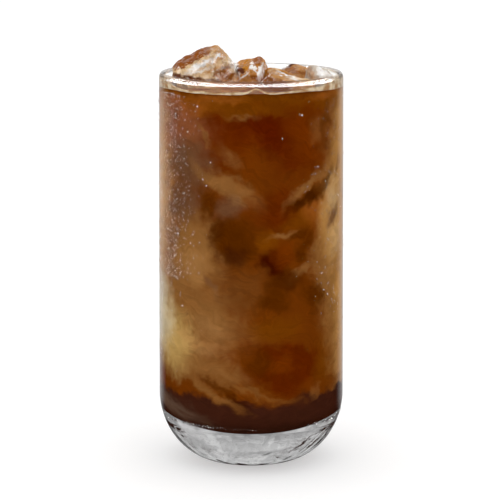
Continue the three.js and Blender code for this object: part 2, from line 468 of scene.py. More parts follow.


# Painted highlights and painted shade in the heavy base, laid out as the clouds are: the light marks are
# painted highlights and painted light, and the dark ones painted shade.
BASE_LIGHT_AND_SHADE = clouds(
    ("shade_streak", -44, 12.5, 12, 4.2, -43, 0.5, 0.9),
    ("shade", -36, 9, 6, 0.9, -43, 0.5, 0.9),
    ("clear", -31, 18.6, 2.2, 1.5, -30, 0.5, 1),
    ("pale", -24.8, 16.6, 2.4, 4, 0, 0.6, 1),
    ("shade_streak", -23.5, 10.6, 5, 4, 0, 0.7, 0.45),
    ("shade_streak", -7.3, 8, 3.6, 1.6, -5, 0.6, 0.5),
    ("shade_streak", 6, 8.6, 10, 0.8, 4, 0.6, 0.6),
    ("shade", 6.8, 7.9, 1.9, 0.4, 15, 0.5, 0.9),
    ("shade", 18.3, 4.4, 2, 0.5, 20, 0.5, 0.8),
    ("clear", -1, 17.3, 9, 0.4, 0, 0.5, 1),
    ("pale", 26, 14, 9, 1.2, 40, 0.6, 0.8),
    ("clear", 31, 13, 9, 0.7, 40, 0.5, 1),
    ("clear", 34.5, 12.4, 10, 0.8, 39, 0.5, 1),
    ("shade_streak", 44, 12, 9, 1.3, 43, 0.5, 0.9),
    ("clear", 38.5, 12, 8, 0.8, 40, 0.5, 1),
    ("shade", 34.4, 9.4, 3.2, 0.8, 38, 0.5, 0.9),
    ("shade", 38.9, 14.3, 3.8, 0.45, 40, 0.5, 0.9),
    ("pale", 75, 12, 14, 3, 20, 0.7, 0.8),
    ("shade_streak", 90, 8, 9, 2, -10, 0.7, 0.6),
    ("clear", -70, 13, 10, 1, -25, 0.6, 0.9),
    ("shade_streak", -85, 10, 10, 2.5, 10, 0.7, 0.6),
)


def round_place(graph, place):
    """The place on the glass as (across, up, 0), with across measured round the glass from the front."""
    x, y, z = xyz(graph, place)
    return graph.node("CombineXYZ", inputs={0: graph.math("ARCTAN2", x, y * -1) * DRINK_RADIUS, 1: z})


def clear_glass(glass, colours):
    """Clear glass, greyer and streaked in its thick base with painted shade, painted light and painted
    highlights, and faint where the lip is thinnest to look at.
    """
    # Heights in millimetres: the painted grey shade ends above the floor of the bowl, and the waves end at
    # it.
    floor, lip = glass.floor_height / MM, glass.height / MM
    graph = material("clear_glass")
    place = graph.place_mm()
    _, _, height = xyz(graph, place)
    thick = graph.smooth(height, floor + 6.6, floor + 3.6)
    # Painted light and shade: the thick base mottled between grey and pale.
    light_and_shade_mottle = graph.noise(place, 5.5, detail=3, distortion=0.7)
    shaded_grey = graph.mix(graph.smooth(light_and_shade_mottle, 0.38, 0.62), colours.shaded_grey, colours.pale)
    # Painted highlights and painted shade laid over it in streaks.
    stirred = graph.stir(round_place(graph, place), place, size=2, far=1.6, detail=3)
    fray = (graph.noise(place, 1.5, detail=3) - 0.5) * 0.6
    shaded_grey = laid_over(graph, shaded_grey, BASE_LIGHT_AND_SHADE, stirred, fray, colours)
    # Painted shade: dark specks in the base.
    shade_speckle = graph.noise(place, 0.8)
    shaded_grey = graph.mix(graph.smooth(shade_speckle, 0.34, 0.28, top=0.4), shaded_grey, colours.shade_streak)
    tint = graph.mix(thick, colours.clear, shaded_grey)
    below = graph.smooth(height, floor + 1.1, floor - 1.9)
    waves = graph.noise(place, 8, detail=1, distortion=0.6) + graph.luminance(shaded_grey) * 0.35
    faint = graph.smooth(height, lip - 1.8, lip - 0.8, top=0.5)
    shader = graph.principled(
        Base_Color=tint,
        Roughness=0.0,
        IOR=1.5,
        Transmission_Weight=1.0,
        Alpha=1 - faint,
        Normal=graph.bump(waves * below, 0.45 * MM),
    )
    return graph.finish(let_light_through(graph, shader))


class LATTE_OT_glass(bpy.types.Operator):
    """Spins the clear tumbler with its heavy rounded base"""

    bl_idname = "latte.glass"
    bl_label = "Glass"

    def execute(self, context):
        glass = context.scene.latte_glass
        lip_radius = glass.mouth_wall / 2
        lip_steps = 20
        recess_steps = 6
        profile = []
        for i in range(recess_steps + 1):
            share = i / recess_steps
            profile.append((glass.recess_radius * share, glass.recess_depth * (1 - share * share)))
        corner = rounded_corner(
            glass.belly_radius, glass.foot_radius, glass.corner_height, 0, glass.corner_exponent, steps=40
        )
        profile += reversed(corner)
        for i in range(lip_steps + 1):
            angle = math.pi * i / lip_steps
            across = glass.mouth_radius - lip_radius + lip_radius * math.cos(angle)
            rounding = glass.lip_rounding if angle < math.pi / 2 else lip_radius
            profile.append((across, glass.height - rounding + rounding * math.sin(angle)))
        profile += bowl(glass)
        profile.append((0, glass.floor_height))
        piece = spun("tumbler", profile, glass.turns)
        dressed(piece, clear_glass(glass, context.scene.latte_tints), slot="glass", replaces="glass")
        return {"FINISHED"}


# The clouds that show in the drink, from the first laid down to the last. The biscuit, cream and silver
# clouds by the sides of the glass are painted light.
CLOUDS = clouds(
    ("biscuit", 47, 94.5, 15.3, 56.2, 0, 0.6, 0.85),
    ("latte", -47.7, 102, 13.7, 41.2, 0, 0.7, 0.8),
    ("amber", 1.7, 141.7, 38.8, 4.5, 0, 0.5, 0.9),
    ("ember", -37.4, 140.6, 19.5, 3.4, 0, 0.7, 0.85),
    ("ember", -11.4, 144.4, 8.5, 1.5, 0, 0.8, 0.6),
    ("ember", 35.4, 144.1, 10.5, 1.9, 0, 0.8, 0.7),
    ("russet", 6.1, 127.5, 26.8, 12, 4, 0.45, 1),
    ("russet", -12.6, 133.8, 6.3, 4.1, -10, 0.6, 0.9),
    ("deep", 7.5, 127.4, 12.6, 10.5, -8, 0.6, 1),
    ("deep", 9.8, 118.1, 4.5, 6, 0, 0.7, 0.9),
    ("rust", 21.2, 128.9, 7.9, 10.5, 10, 0.7, 0.8),
    ("amber", 1, 139, 11.7, 2.2, 5, 0.7, 0.8),
    ("rust", -5.5, 124.5, 7.4, 6, -20, 0.8, 0.6),
    ("rust", -0.4, 119.2, 4.3, 8.2, 0, 0.7, 0.7),
    ("plum", -34, 131.1, 15.3, 8.2, 0, 0.6, 1),
    ("mauve", -24.7, 117.8, 9.9, 9, 0, 0.6, 1),
    ("coffee", 3.9, 114.4, 8.8, 9, 0, 0.7, 0.8),
    ("caramel", -9.2, 111.9, 12, 3.4, -24, 0.6, 0.8),
    ("caramel", -14.2, 112.2, 4, 2.6, 0, 0.8, 0.5),
    ("latte", -4.8, 106.1, 4, 1.5, -32, 0.8, 0.6),
    ("chestnut", 1.7, 105.1, 3.3, 3.4, -30, 0.8, 0.8),
    ("mauve", -26.9, 102.4, 8.5, 7.1, 0, 0.6, 0.95),
    ("umber", -15.9, 101.2, 3.7, 7.5, 10, 0.6, 0.9),
    ("mauve", -8.1, 102.8, 5.2, 5.6, -15, 0.6, 0.9),
    ("russet", 11.7, 101.8, 11.1, 7.5, 0, 0.6, 0.8),
    ("amber", 19.5, 97.6, 7.1, 3.4, 15, 0.7, 0.8),
    ("caramel", -22.4, 84.3, 12, 13.5, 0, 0.45, 1),
    ("latte", -24.4, 80.3, 7.1, 6, 0, 0.8, 0.5),
    ("umber", -5.5, 89.7, 8.2, 7.9, 30, 0.5, 1),
    ("ink", -6.6, 84.9, 4.8, 3, 0, 0.7, 0.7),
    ("bister", -12.3, 93.4, 2.3, 4.5, -40, 0.8, 0.8),
    ("garnet", 8, 81.9, 5.6, 4.5, -10, 0.5, 1),
    ("amber", 6.1, 90.1, 3.3, 4.5, 0, 0.6, 0.95),
    ("caramel", 11.8, 92.3, 4.3, 1.5, 8, 0.8, 0.75),
    ("rust", 12.5, 84.7, 4.3, 4.5, 0, 0.6, 0.8),
    ("ember", 26.5, 102.2, 5.2, 7.9, -10, 0.7, 0.7),
    ("bister", 19, 103.5, 4.8, 1.9, 22, 0.9, 0.95),
    ("bister", 24.6, 106.1, 5.5, 1.9, 40, 0.9, 1),
    ("bister", 31.1, 110.4, 5.5, 1.5, 58, 0.9, 0.95),
    ("caramel", 22.2, 110.3, 8.6, 1.9, 36, 0.8, 0.8),
    ("umber", 20, 86.7, 2.7, 5.6, -18, 0.6, 0.9),
    ("umber", 17, 91.9, 3.3, 1.5, 25, 0.6, 0.9),
    ("caramel", 34.3, 77.5, 8.6, 17.2, 0, 0.6, 0.9),
    ("caramel", 20, 78.2, 5.4, 1.5, 32, 0.8, 0.7),
    ("biscuit", 36.3, 95.1, 6.3, 13.5, 0, 0.7, 0.9),
    ("side_light_cream", 37.2, 105.4, 4.1, 7.5, 0, 0.8, 0.3),
    ("side_light_cream", 38.2, 89.3, 4.4, 7.5, 0, 0.8, 0.25),
    ("mauve", 40.3, 117.6, 2.5, 4.9, -14, 0.6, 0.9),
    ("mauve", 36.6, 98.3, 4.8, 3, 45, 0.6, 0.9),
    ("chestnut", 27.2, 130.8, 3.7, 4.1, 0, 0.8, 0.7),
    ("umber", 31, 132.9, 1.8, 8.2, 0, 0.7, 0.45),
    ("caramel", -18.3, 129.8, 4.3, 1.2, -48, 0.9, 0.5),
    ("caramel", -8.1, 121.5, 4.5, 1.7, -45, 1, 0.5),
    ("caramel", -3.7, 136.5, 5.1, 1.1, -7, 1, 0.45),
    ("walnut", -4.8, 72.6, 9.7, 8.2, 0, 0.7, 0.8),
    ("caramel", -34.6, 69.2, 10.2, 9.8, 0, 0.7, 0.9),
    ("mauve", -14.7, 72.4, 5.3, 1.5, -58, 0.7, 0.9),
    ("caramel", -16.4, 60, 12.1, 4.9, -18, 0.7, 0.8),
    ("caramel", -17.2, 65.5, 5.9, 3.8, -20, 0.8, 0.5),
    ("bister", 12.2, 74.6, 7.1, 4.5, 0, 0.6, 0.8),
    ("umber", 8.4, 67.5, 5.7, 4.1, 0, 0.5, 0.95),
    ("umber", 24.7, 68.2, 5, 4.9, 0, 0.6, 0.95),
    ("chestnut", -9.3, 54.4, 13.4, 6, -6, 0.6, 0.8),
    ("amber", 8.4, 56.5, 8.4, 4.5, 5, 0.7, 0.8),
    ("milk", -34.3, 50.8, 10.8, 10.5, 0, 0.7, 0.95),
    ("milk", -28.5, 46.9, 7.3, 6.4, 20, 0.7, 0.9),
    ("latte", -20.7, 49.7, 9.4, 3.4, -12, 0.9, 0.7),
    ("side_light_cream", -43.8, 54.5, 8, 9.8, 0, 0.7, 0.9),
    ("silver", -45.9, 62.4, 6.4, 11.2, 0, 0.6, 1),
    ("caramel", -15.6, 40.4, 13.9, 4.5, -14, 0.7, 0.85),
    ("russet", 15.4, 47.3, 14.8, 3.4, -4, 0.6, 0.95),
    ("russet", 14.6, 38.2, 15.6, 8.2, 0, 0.5, 0.95),
    ("umber", 3.9, 43.5, 4.4, 5.2, 30, 0.7, 0.7),
    ("rust", 11.9, 43.4, 5.1, 4.5, 0, 0.5, 0.95),
    ("amber", 31.6, 41.3, 5.7, 11.2, 0, 0.7, 0.8),
    ("caramel", 44.1, 46, 9.9, 21, 0, 0.6, 0.9),
    ("latte", 46.5, 40.4, 7.6, 16.5, 0, 0.6, 0.7),
    ("caramel", -16.4, 63.4, 10.3, 9.8, -20, 0.8, 0.6),
    ("latte", -14.8, 56.6, 6.5, 3.8, -20, 0.9, 0.55),
    ("biscuit", -43.7, 109.7, 5.9, 33.8, 0, 0.8, 0.8),
    ("side_light_cream", -40.7, 60.8, 7.1, 7.1, 0, 0.8, 0.6),
    ("biscuit", 45.2, 129.6, 6.2, 18.8, 0, 0.8, 0.9),
    ("biscuit", 46.1, 60.5, 6.4, 22.5, 0, 0.8, 0.9),
    # The rest are on the sides and at the back.
    ("russet", 74, 131, 20, 8, 14, 0.6, 0.9),
    ("russet", 60, 122, 9, 4, 35, 0.7, 0.85),
    ("umber", 59, 101, 9, 3.5, -35, 0.7, 0.85),
    ("rust", 58, 80, 9, 4, 35, 0.7, 0.85),
    ("umber", 58, 57, 9, 4, -32, 0.7, 0.85),
    ("deep", -80, 128, 18, 7, -14, 0.6, 0.9),
    ("caramel", 64, 113, 14, 3.5, -32, 0.7, 0.8),
    ("rust", 88, 116, 13, 6, 20, 0.7, 0.8),
    ("latte", 103, 101, 15, 3.5, -24, 0.7, 0.7),
    ("plum", -60, 116, 8, 11, 8, 0.7, 0.8),
    ("caramel", -84, 108, 17, 4, 26, 0.7, 0.8),
    ("umber", 70, 91, 14, 6, -30, 0.6, 0.9),
    ("caramel", 90, 80, 12, 7, 38, 0.6, 0.9),
    ("umber", -68, 92, 12, 6, 34, 0.6, 0.9),
    ("latte", -86, 80, 16, 4, -24, 0.7, 0.8),
    ("garnet", 104, 66, 12, 6, 12, 0.6, 0.8),
    ("rust", 62, 66, 8, 9, 0, 0.7, 0.8),
    ("latte", 80, 59, 17, 4, -20, 0.6, 0.8),
    ("garnet", -67, 66, 9, 5, -14, 0.6, 0.8),
    ("caramel", -88, 54, 15, 4, 22, 0.7, 0.8),
    ("milk", 64, 46, 12, 6, 24, 0.7, 0.8),
    ("russet", 88, 42, 14, 6, -8, 0.6, 0.9),
    ("milk", -66, 48, 10, 8, -24, 0.7, 0.8),
    ("caramel", -92, 40, 16, 4, -16, 0.7, 0.8),
)
# A cloud that crosses the seam at the back is drawn from both of its sides.
CLOUDS += tuple(
    cloud._replace(across=cloud.across - math.copysign(ROUND, cloud.across))
    for cloud in CLOUDS
    if abs(cloud.across) + cloud.wide > ROUND / 2
)

# These tongues of milky coffee and the seams between them reach down into the dark layer.
TONGUES = clouds(
    ("coffee", 30.1, 32.8, 12.1, 2.6, 0, 0.7, 0.7),
    ("toffee", -14.4, 31.6, 12.6, 2.2, -29, 0.8, 0.75),
    ("caramel", -17.3, 33.4, 10.5, 1.5, -30, 0.9, 0.6),
    ("coffee", 1.8, 32.5, 15.2, 3, -15, 0.8, 0.8),
    ("toffee", -1.9, 34.1, 14.4, 1.5, -18, 0.8, 0.6),
    ("caramel", -1.2, 34, 8.9, 0.8, -18, 0.9, 0.3),
    ("toffee", 13.1, 29.2, 7.2, 1.1, -15, 0.8, 0.3),
    ("umber", -15.2, 36.8, 4.5, 1.2, -28, 0.95, 0.8),
    ("umber", -9.7, 33.2, 4.2, 1.5, -46, 0.95, 0.9),
    ("ink", -4.1, 29, 4.4, 1.1, -28, 0.95, 0.8),
    ("chestnut", 26, 30.8, 2.1, 3, -20, 0.6, 0.8),
    ("slate", -39.6, 23.6, 14, 3.8, -10, 0.9, 0.8),
)

# The drink is finished in bands, each with the clouds that reach it. These are the heights between them, in
# millimetres.
BANDS = (0, 48, 70, 95, 122, 160)

# The fine mist on the left of the glass mottles what is seen through it, painted into the drink as speckles
# of painted light and shade. For each of its edges, where it ends and where it is full, in millimetres.
MIST_RIGHT = (-27, -37)
MIST_LEFT = (-70, -55)
MIST_BOTTOM = (72, 96)

# The painted top of the dark layer, as where it ends and where it is full, and how high its tongues reach, in
# millimetres.
DARK_EDGE = (31.7, 28.7)
TONGUES_TOP = 50

# How the drink is stirred: the size of each set of eddies and how far it pushes, in millimetres.
EDDIES = ((16, 6.4), (6, 6.4), (2.4, 2.8), (1, 1))

# How far a cloud's edge can fray, over its half size, and how far the eddies can push it, in millimetres.
FRAY_REACH = 0.4
EDDIES_REACH = 4


def stirred_place(graph, place):
    """The place at the glass as (across, up) in millimetres, stirred by the eddies."""
    stirred = round_place(graph, place)
    for size, far in EDDIES:
        stirred = graph.stir(stirred, place, size, far, detail=1)
    return stirred


def reaches(cloud, low, high):
    """Whether a cloud, frayed and stirred, can show between two heights."""
    tilt = math.radians(cloud.tilt)
    half = math.hypot(cloud.wide * math.sin(tilt), cloud.high * math.cos(tilt))
    reach = half * (1 + FRAY_REACH + cloud.soft) + EDDIES_REACH
    return cloud.up + reach > low and cloud.up - reach < high


def drink_colour(graph, colours, low, high):
    """The clouded colour of the drink where it meets the glass, between two heights in millimetres."""
    place = graph.place_mm()
    stirred = stirred_place(graph, place)
    fray = (graph.noise(place, 3) - 0.5) * 0.5
    shown = [cloud for cloud in CLOUDS if reaches(cloud, low, high)]
    mixed = laid_over(graph, colours.coffee, shown, stirred, fray, colours)
    if low < TONGUES_TOP:
        _, up, _ = xyz(graph, stirred)
        dark = graph.smooth(up + fray * 4, *DARK_EDGE)
        mixed = graph.mix(dark, mixed, colours.dregs)
        mixed = laid_over(graph, mixed, TONGUES, stirred, fray, colours)
    light, dark = wisps(graph, place)
    grain = graph.noise(place, 0.45, detail=1) - 0.5
    if high > MIST_BOTTOM[0]:
        across, up, _ = xyz(graph, stirred)
        misted = graph.smooth(across, *MIST_RIGHT) * graph.smooth(across, *MIST_LEFT)
        misted = misted * graph.smooth(up, *MIST_BOTTOM)
        # Painted light and shade: the glints and dark rims of the mist's beads, as speckles in the drink's
        # colour.
        bead_light_and_shade = graph.smooth(graph.noise(place, 0.7, roughness=0.6), 0.36, 0.64) - 0.5
        grain = grain + bead_light_and_shade * misted * 2.6
    shade = 1 + light * 0.11 - dark * 0.09 + grain * 0.2
    return graph.vector("MULTIPLY", mixed, graph.node("CombineXYZ", inputs={0: shade, 1: shade, 2: shade}))


def wisps(graph, place):
    """Masks of the fine light and dark threads that trail through the drink."""
    x, y, z = xyz(graph, place)
    bend = graph.noise(place, 14, distortion=0.8) * 26
    thread = graph.node("CombineXYZ", inputs={0: x / 9, 1: y / 9, 2: (z + x * 0.3 + bend) / 1.8})
    strand = graph.noise(thread, 1.9)
    patchy = graph.smooth(graph.noise(place, 9, detail=1), 0.4, 0.6)
    light = graph.smooth(graph.math("ABSOLUTE", strand - 0.53), 0.09, 0.0) * patchy
    dark = graph.smooth(graph.math("ABSOLUTE", strand - 0.43), 0.08, 0.0)
    return light, dark


def clouded_drink(name, colours, low, high):
    """The drink between two heights in millimetres."""
    graph = material(name)
    mixed = drink_colour(graph, colours, low, high)
    shader = graph.principled(Base_Color=mixed, Roughness=1.0, Specular_IOR_Level=0.0)
    return graph.finish(shader)


def drink_surface(colours):
    """The top of the drink: a brown film of coffee with paler swirls and a few bubbles."""
    graph = material("coffee_surface")
    place = graph.place_mm()
    film = graph.noise(place, 5, detail=5, distortion=1.2)
    mixed = graph.mix(graph.smooth(film, 0.42, 0.62), colours.russet, colours.caramel)
    swirls = graph.smooth(graph.noise(place, 2, detail=3), 0.55, 0.7, top=0.8)
    mixed = graph.mix(swirls, mixed, colours.latte)
    bubbles = graph.node("TexVoronoi", inputs={"Vector": place, "Scale": 1.2})
    mixed = graph.mix(graph.smooth(bubbles, 0.22, 0.1, top=0.5), mixed, colours.foam)
    shader = graph.principled(
        Base_Color=mixed,
        Roughness=0.35,
        Specular_IOR_Level=0.1,
        Normal=graph.bump(film, 0.4 * MM),
    )
    return graph.finish(shader)


def wave_dark_surface(piece, glass, drink, caps):
    """Waves the boundary of the dark layer, and the caps inside the drink at the given heights with it."""
    bore = glass.belly_radius - glass.belly_wall
    fade = glass.bowl_top - drink.dark_top
    for vertex in piece.data.vertices:
        x, y, z = vertex.co
        radius = math.hypot(x, y)
        angle = math.atan2(y, x)
        wave = drink.dark_wave * (0.6 * math.sin(3 * angle + 0.8) + 0.4 * math.sin(5 * angle - 1.1))
        away = abs(z - drink.dark_top)
        if away < fade and radius > bowl_radius(glass, z, drink.reach) - MM / 100:
            vertex.co.z = z + wave * (1 - away / fade)
            grown = bowl_radius(glass, vertex.co.z, drink.reach) / radius
            vertex.co.x *= grown
            vertex.co.y *= grown
        elif any(abs(z - cap) < MM / 100 for cap in caps):
            vertex.co.z = z + wave * radius / bore


def cad_copy(node, name):
    """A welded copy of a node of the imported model."""
    start_clean()
    piece = bpy.data.objects.new(name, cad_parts[node].data.copy())
    bpy.context.scene.collection.objects.link(piece)
    select_only(piece)
    bpy.ops.object.mode_set(mode="EDIT")
    bpy.ops.mesh.select_all(action="SELECT")
    bpy.ops.mesh.remove_doubles(threshold=MM / 200)
    bpy.ops.mesh.normals_make_consistent(inside=False)
    bpy.ops.object.mode_set(mode="OBJECT")
    return piece


class LATTE_OT_drink(bpy.types.Operator):
    """Fills the glass with the dark layer and the latte, cut round the ice"""

    bl_idname = "latte.drink"
    bl_label = "Drink"

    def execute(self, context):
        scene = context.scene
        glass, drink, colours = scene.latte_glass, scene.latte_drink, scene.latte_colours
        overlap = 1.2 * MM
        rows, rings = 28, 24
        rim_radius = bowl_radius(glass, drink.dark_top, drink.reach)
        floor = list(reversed(bowl(glass, drink.reach)))
        profile = [(0, floor[0][1])] + [p for p in floor if p[1] < drink.dark_top - MM / 5]
        profile.append((rim_radius, drink.dark_top))
        profile.append((rim_radius - 2 * overlap, drink.dark_top + overlap))
        profile.append((0, drink.dark_top + overlap))
        dark = spun("dark_coffee", profile, glass.turns)
        wave_dark_surface(dark, glass, drink, [drink.dark_top + overlap])
        finish = clouded_drink("dark_coffee", colours, *BANDS[:2])
        dressed(dark, finish, slot="dark_coffee", replaces="dark_coffee_layer")

        profile = [(0, drink.dark_top), (rim_radius * 0.9, drink.dark_top), (rim_radius, drink.dark_top)]
        profile += [p for p in floor if p[1] > drink.dark_top + MM / 5]
        for i in range(1, rows + 1):
            height = glass.bowl_top + (drink.level - glass.bowl_top) * i / rows
            profile.append((bore_radius(glass, height) + drink.reach, height))
        # The surface is flat, and only creeps up to its level at the glass.
        for i in range(1, rings + 1):
            share = 1 - i / rings
            radius = (bore_radius(glass, drink.level) + drink.reach) * share
            profile.append((radius, LATTE_HIGH.z + (drink.level - LATTE_HIGH.z) * share**6))
        latte = spun("latte_body", profile, glass.turns)
        wave_dark_surface(latte, glass, drink, [drink.dark_top])
        for node in ICE_NODES:
            cutter = cad_copy(node, "cutter")
            bpy.ops.object.mode_set(mode="EDIT")
            bpy.ops.mesh.select_all(action="SELECT")
            bpy.ops.transform.shrink_fatten(value=-drink.ice_reach)
            bpy.ops.object.mode_set(mode="OBJECT")
            select_only(latte)
            cut = latte.modifiers.new("cut", "BOOLEAN")
            cut.object = cutter
            cut.solver = "MANIFOLD"
            bpy.ops.object.modifier_apply(modifier=cut.name)
            bpy.data.objects.remove(cutter)
        bands = [clouded_drink("clouded_coffee", colours, low, high) for low, high in zip(BANDS, BANDS[1:])]
        dressed(latte, drink_surface(colours), *bands, slot="latte", replaces="latte")
        for face in latte.data.polygons:
            if face.center.z < LATTE_HIGH.z - 0.2 * MM or face.normal.z < 0.5:
                face.material_index = sum(face.center.z > low * MM for low in BANDS[:-1])
        return {"FINISHED"}


# Where the foam arches up, and where it only reaches further up the glass: the middle and half width in
# degrees, and the rise in millimetres.
FOAM_ARCHES = ((-87, 5, 1.9), (-55, 24, 0.6), (-150, 12, 0.3), (62, 9, 0.4), (140, 14, 0.5))
FOAM_SMEARS = (
    (-22, 22, 1.7),
    (-162, 13, 1.3),
    (30, 14, 0.9),
    (110, 12, 0.7),
    (179, 12, 1.5),
    (-179, 10, 0.9),
    (3, 11, 1.2),
)

# The crinkles of the foam, as their size and height in millimetres.
FOAM_CRINKLES = ((0.8, 0.22), (6, 0.35))


class LATTE_OT_foam(bpy.types.Operator):
    """Lays the thin ring of foam along the glass"""

    bl_idname = "latte.foam"
    bl_label = "Foam"

    def execute(self, context):
        scene = context.scene
        glass, drink, colours = scene.latte_glass, scene.latte_drink, scene.latte_colours
        low = drink.level - drink.foam_depth
        wall = bore_radius(glass, low) + drink.foam_reach
        steps = 8
        profile = [(wall - drink.foam_width, low), (wall, low), (wall, drink.level - drink.foam_depth / 3)]
        for i in range(steps + 1):
            share = i / steps
            climb = drink.foam_climb * (1 - share) ** 2
            profile.append((wall - drink.foam_width * share, drink.level + climb - 0.1 * MM * share))
        profile.append(profile[0])
        piece = spun("foam_ring", profile, 3 * glass.turns)
        for vertex in piece.data.vertices:
            degrees = math.degrees(math.atan2(vertex.co.y, vertex.co.x))
            arch, smear = (
                sum(rise * math.exp(-(((degrees - at) / half) ** 2)) for at, half, rise in places)
                for places in (FOAM_ARCHES, FOAM_SMEARS)
            )
            crinkle = lumps(vertex.co, FOAM_CRINKLES)
            above = (vertex.co.z - low) / drink.foam_depth
            vertex.co.z += (arch + smear * above + crinkle * (0.4 + 0.6 * above)) * MM
        graph = material("foam")
        place = graph.place_mm()
        tone = graph.noise(place, 2.5, detail=4)
        mixed = graph.mix(graph.smooth(tone, 0.3, 0.7), colours.latte, colours.foam)
        bubbles = graph.node("TexVoronoi", inputs={"Vector": place, "Scale": 3.0})
        shader = graph.principled(Base_Color=mixed, Roughness=0.6, Normal=graph.bump(bubbles, 0.1 * MM))
        dressed(piece, graph.finish(shader), slot="foam", replaces="foam")
        return {"FINISHED"}


# Patches on the front of each block of ice, laid out as the clouds are: across is x, and up the height. The
# white patches are frost and flaws, and partly painted highlights.
ICE_PATCHES = {
    "ice_left_large": clouds(
        ("beige", -17, 152, 16, 9, 25, 0.2, 1),
        ("smoky", -23, 159, 16.5, 4.4, 27, 0.12, 1),
        ("rose", -10.5, 159, 5, 1.8, -8, 0.5, 0.9),
        ("tan", -13, 155.8, 6, 1, 20, 0.6, 0.7),
        ("white", -18.6, 153.8, 5, 0.9, 24, 0.6, 0.9),
        ("white", -20.5, 151.2, 4.6, 0.5, 14, 0.8, 0.7),
        ("honey", -14.5, 151.8, 3.4, 0.7, 22, 0.7, 0.7),
        ("white", -12.3, 157.1, 0.9, 0.8, 0, 0.4, 1),
        ("lilac", -9.5, 152.6, 2.6, 0.8, 10, 0.7, 0.8),
        ("white", -5, 154, 2.2, 4.2, 25, 0.5, 0.95),
        ("amber", -10, 149.8, 3.8, 2.3, -10, 0.2, 1),
        ("bark", -25, 149, 7, 0.9, -8, 0.5, 1),
        ("bark", -15, 147.8, 5, 0.7, -8, 0.5, 0.9),
    ),
    "ice_centre": clouds(
        ("honey", 0, 151, 7, 7, 0, 0.2, 1),
        ("tan", 0, 149, 4, 2, 0, 0.6, 0.8),
        ("white", -6.2, 152.4, 1.3, 4, 12, 0.5, 0.95),
        ("bark", -3.9, 151.6, 1.5, 1.1, 0, 0.3, 1),
        ("amber", 1.4, 149, 2.4, 0.9, -25, 0.5, 0.9),
        ("smoky", 2.4, 155, 2.2, 1.3, 20, 0.5, 0.9),
        ("white", 3.4, 150.4, 1.2, 3.4, -12, 0.35, 0.95),
        ("white", 0.3, 152.9, 0.8, 1.2, -30, 0.4, 0.9),
        ("white", -2.9, 149.6, 2.6, 0.35, 40, 0.6, 0.8),
        ("white", 1.4, 152.2, 2.4, 0.3, -62, 0.6, 0.8),
    ),
    "ice_small_amber": clouds(
        ("honey", 8, 150, 7, 7, 0, 0.2, 1),
        ("beige", 8, 150.9, 4.5, 0.6, 12, 0.5, 0.9),
    ),
    "ice_front_right": clouds(
        ("smoky", 7, 149, 8, 6, 0, 0.2, 1),
        ("rose", 14, 149.8, 8, 1.9, -14, 0.35, 1),
        ("beige", 18, 149.2, 5, 1, -14, 0.5, 1),
        ("white", 4.3, 149.2, 4.6, 0.45, 47, 0.4, 1),
        ("white", 14, 150.2, 4, 0.5, -16, 0.5, 0.9),
        ("bark", 12.6, 148.4, 1.8, 0.4, -25, 0.5, 0.9),
        ("tan", 18, 148, 3.4, 0.5, -14, 0.5, 0.8),
    ),
    "ice_back_right": clouds(
        ("tan", 18, 148, 12, 7, 0, 0.2, 1),
        ("bark", 13.6, 151.2, 4.2, 0.9, 18, 0.5, 1),
        ("white", 12.6, 150.6, 1.5, 0.5, 10, 0.5, 1),
        ("smoky", 17.5, 149.4, 5, 1, -12, 0.5, 0.8),
        ("rose", 19.5, 147.8, 3.6, 1, -10, 0.5, 1),
        ("white", 23.6, 148.6, 1.2, 1, 0, 0.5, 1),
    ),
    "ice_far_right": clouds(
        ("mist", 25, 150, 9, 8, 0, 0.2, 1),
        ("tan", 22.4, 150, 1.3, 3, 25, 0.6, 0.7),
        ("white", 26.4, 150, 1, 3, 20, 0.4, 1),
        ("white", 29, 149, 1.4, 2.4, 30, 0.4, 0.9),
    ),
}


def wet_ice(node, colours):
    """Ice soaked with coffee: frosted and painted in patches, some of them painted highlights, and clear
    between its flaws.
    """
    graph = material("wet_" + node)
    place = graph.place_mm()
    x, _, z = xyz(graph, place)
    stirred = graph.stir(graph.node("CombineXYZ", inputs={0: x, 1: z}), place, size=1.6, far=3)
    fray = (graph.noise(place, 1.2, detail=4, roughness=0.6) - 0.5) * 0.9
    mixed = laid_over(graph, colours.tan, ICE_PATCHES[node], stirred, fray, colours)
    flaws = graph.noise(place, 1.1, detail=4, roughness=0.65, distortion=0.25)
    mixed = graph.mix(graph.smooth(flaws, 0.58, 0.7, top=0.4), mixed, colours.white)
    mixed = graph.mix(graph.smooth(flaws, 0.42, 0.32, top=0.5), mixed, colours.smoky)
    height = graph.noise(place, 2.2, detail=5, roughness=0.55) + flaws * 0.3
    normal = graph.bump(height, 0.5 * MM)
    wet = graph.smooth(graph.noise(place, 2.5, detail=3), 0.45, 0.62, top=0.4)
    frosted = graph.principled(
        Base_Color=mixed,
        Roughness=0.3,
        Specular_IOR_Level=0.0,
        Coat_Weight=wet,
        Coat_Roughness=0.06,
        Coat_IOR=1.33,
        Normal=normal,
    )
    clear = graph.principled(
        Base_Color=colours.melt,
        Roughness=0.04,
        IOR=1.31,
        Transmission_Weight=1.0,
        Normal=normal,
    )
    clouding = graph.smooth(graph.noise(place, 3, detail=3), 0.45, 0.62, top=0.25)
    return graph.finish(graph.node("MixShader", inputs={0: clouding, 1: frosted, 2: clear}))


# How finely the ice is shaped, and its dents as their size and depth, all in millimetres.
ICE_VOXEL = 0.3
ICE_DENTS = ((3, 0.35), (1.2, 0.16))


